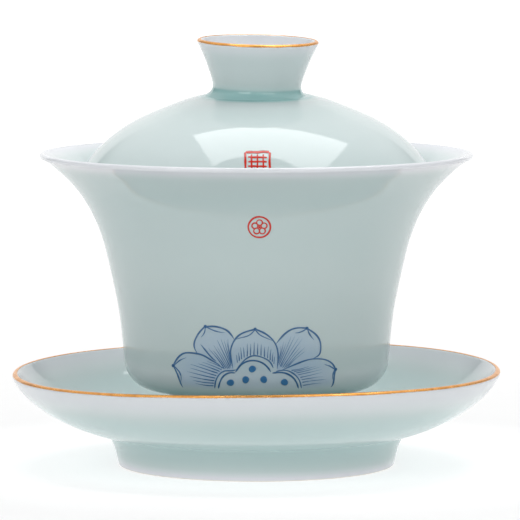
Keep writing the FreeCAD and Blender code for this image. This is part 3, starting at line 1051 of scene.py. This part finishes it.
gilt_ring("saucer_gold_line", SAUCER_LIP, SAUCER_LIP_R, SAUCER_GILT_SPAN, "saucer", ["saucer_gilt"], gold)
gilt_ring("knob_gold_line", KNOB_LIP, KNOB_LIP_R, KNOB_GILT_SPAN, "lid", ["knob_gilt"], gold)

bowl_ground = Ground(bowl, 18.0, 70.0, BOWL_OUTSIDE_R)
petal_brush = Brush(bowl_ground)
paint_petals(petal_brush)
petal_brush.finish("lotus_petal_lines", "bowl", ["lotus_petals"], cobalt)
pod_brush = Brush(bowl_ground)
paint_pod(pod_brush)
pod_brush.finish("lotus_pod_lines", "bowl", ["lotus_pod"], cobalt)
seed_brush = Brush(bowl_ground)
for seed_x, seed_z in SEEDS:
    seed_brush.dot(seed_x, seed_z, SEED_R, 0.85)
seed_brush.finish("lotus_seed_dots", "bowl", ["lotus_seeds"], seed_cobalt)
seal_brush = Brush(bowl_ground)
paint_round_seal(seal_brush, *ROUND_SEAL)
seal_brush.finish("bowl_seal_floret", "bowl", ["bowl_seal"], enamel)
lid_brush = Brush(Ground(lid, 67.5, 84.0, 14.0))
paint_square_seal(lid_brush, *SQUARE_SEAL)
lid_brush.finish("lid_seal_lattice", "lid", ["lid_seal"], enamel)


# ---- studio -----------------------------------------------------------------------------

FLOOR_SIZE = 6.0                     # from the middle to an edge
SOFTBOX_PLACE = (0.095, 0.170, 0.90)
WINDOW_X, WINDOW_Y, WINDOW_Z = 0.62, -1.0, 0.62
WINDOW_TARGET = (0, 0, 0.08)
WINDOW_SIZE = (0.75, 0.36)
CAMERA_PLACE = (0, -1.150, 0.1525)
CAMERA_TARGET = (0, 0, 0.04705)
CAMERA_LENS = 348.6


def eased(tree, value, low, high, start, end):
    """Goes smoothly from start to end while the value goes from low to high."""
    node = tree.nodes.new("ShaderNodeMapRange")
    node.interpolation_type = "SMOOTHSTEP"
    tree.links.new(value, node.inputs["Value"])
    for label, number in (("From Min", low), ("From Max", high), ("To Min", start), ("To Max", end)):
        node.inputs[label].default_value = number
    return node.outputs["Result"]


def add_plane(name, outline, height):
    """A flat stage mesh at a height, with its outline given as (x, y) points."""
    mesh = bpy.data.meshes.new(name)
    mesh.from_pydata([(x, y, height) for x, y in outline], [], [tuple(range(len(outline)))])
    made = bpy.data.objects.new(name, mesh)
    bpy.context.scene.collection.objects.link(made)
    return made


def add_floor():
    """A wide pale floor that glows a little, more under the set and far away from it."""
    far = FLOOR_SIZE
    floor = add_plane("studio_floor", [(-far, -far), (far, -far), (far, far), (-far, far)], 0)
    nodes = Nodes("studio_floor")
    colour = nodes.mix(nodes.noise(30, 3), (0.59, 0.59, 0.59), (0.61, 0.61, 0.61))
    away = nodes.add("ShaderNodeVectorMath", operation="LENGTH")
    nodes.link(nodes.place, away.inputs[0])
    under_set = eased(nodes.tree, away.outputs["Value"], 0.034, 0.100, 0.60, 0.24)
    far_away = eased(nodes.tree, away.outputs["Value"], 0.25, 0.90, 0.0, 0.42)
    glow = nodes.math("ADD", under_set, far_away)
    nodes.link(colour, nodes.shader.inputs["Base Color"])
    nodes.shader.inputs["Roughness"].default_value = 0.9
    nodes.shader.inputs["Specular IOR Level"].default_value = 0.0
    nodes.shader.inputs["Emission Color"].default_value = (1, 1, 1, 1)
    nodes.link(glow, nodes.shader.inputs["Emission Strength"])
    floor.data.materials.append(nodes.material)


def add_flag(centre, radius, height):
    """A round black flag under the overhead softbox, whose edge shows in the lid's reflection."""
    turns = even_turn(96)
    xs = centre[0] + radius * np.cos(turns)
    ys = centre[1] + radius * np.sin(turns)
    flag = add_plane("softbox_flag", list(zip(xs.tolist(), ys.tolist())), height)
    nodes = Nodes("softbox_flag")
    colour = nodes.mix(nodes.noise(40, 2), (0.02, 0.02, 0.02), (0.03, 0.03, 0.03))
    nodes.link(colour, nodes.shader.inputs["Base Color"])
    nodes.shader.inputs["Roughness"].default_value = 0.9
    flag.data.materials.append(nodes.material)


def add_softbox(name, centre, target, width, depth, radiance):
    """A rectangular area light of the given brightness, pointing at the target."""
    data = bpy.data.lights.new(name, "AREA")
    data.shape = "RECTANGLE"
    data.size = width
    data.size_y = depth
    data.energy = radiance * width * depth * math.pi
    light = bpy.data.objects.new(name, data)
    light.location = centre
    light.rotation_euler = (Vector(target) - Vector(centre)).to_track_quat("-Z", "Y").to_euler()
    bpy.context.scene.collection.objects.link(light)


def add_world():
    """White studio: a bright wall behind the set, dim sides, and a dimmer room behind the camera."""
    world = bpy.data.worlds.new("studio")
    world.use_nodes = True
    bpy.context.scene.world = world
    tree = world.node_tree
    place = tree.nodes.new("ShaderNodeTexCoord")
    split = tree.nodes.new("ShaderNodeSeparateXYZ")
    tree.links.new(place.outputs["Generated"], split.inputs["Vector"])

    def brighter(first, second):
        node = tree.nodes.new("ShaderNodeMath")
        node.operation = "MAXIMUM"
        tree.links.new(first, node.inputs[0])
        tree.links.new(second, node.inputs[1])
        return node.outputs[0]

    flat = tree.nodes.new("ShaderNodeMath")
    flat.operation = "ABSOLUTE"
    tree.links.new(split.outputs["Z"], flat.inputs[0])
    room = eased(tree, split.outputs["Y"], -0.3, 0.5, 0.10, 0.24)
    ceiling = eased(tree, split.outputs["Z"], 0.20, 0.50, 0.0, 0.90)
    wall = eased(tree, split.outputs["Y"], 0.82, 0.86, 0.0, 1.0)
    horizon = eased(tree, flat.outputs[0], 0.015, 0.05, 1.0, 0.0)
    glow = brighter(brighter(room, ceiling), brighter(wall, horizon))
    tree.links.new(glow, tree.nodes["Background"].inputs["Strength"])
    tree.nodes["Background"].inputs["Color"].default_value = (1, 1, 1, 1)


def add_camera():
    """A long lens, a little higher than the set and looking slightly down on it."""
    data = bpy.data.cameras.new("camera")
    data.sensor_width = 36.0
    data.lens = CAMERA_LENS
    data.shift_x = 0.007
    data.clip_start = 0.01
    data.clip_end = 50.0
    camera = bpy.data.objects.new("camera", data)
    camera.location = CAMERA_PLACE
    target = Vector(CAMERA_TARGET)
    camera.rotation_euler = (target - camera.location).to_track_quat("-Z", "Y").to_euler()
    bpy.context.scene.collection.objects.link(camera)
    bpy.context.scene.camera = camera


add_floor()
add_world()
add_softbox("overhead_softbox", SOFTBOX_PLACE, (*SOFTBOX_PLACE[:2], 0.0), 0.75, 0.66, 3.1)
add_flag((-0.023, -0.368), 0.329, 0.893)
add_softbox("left_window", (-WINDOW_X, WINDOW_Y, WINDOW_Z), WINDOW_TARGET, *WINDOW_SIZE, 3.4)
add_softbox("right_window", (WINDOW_X, WINDOW_Y, WINDOW_Z), WINDOW_TARGET, *WINDOW_SIZE, 2.4)
add_camera()
bpy.context.scene.view_settings.view_transform = "Standard"
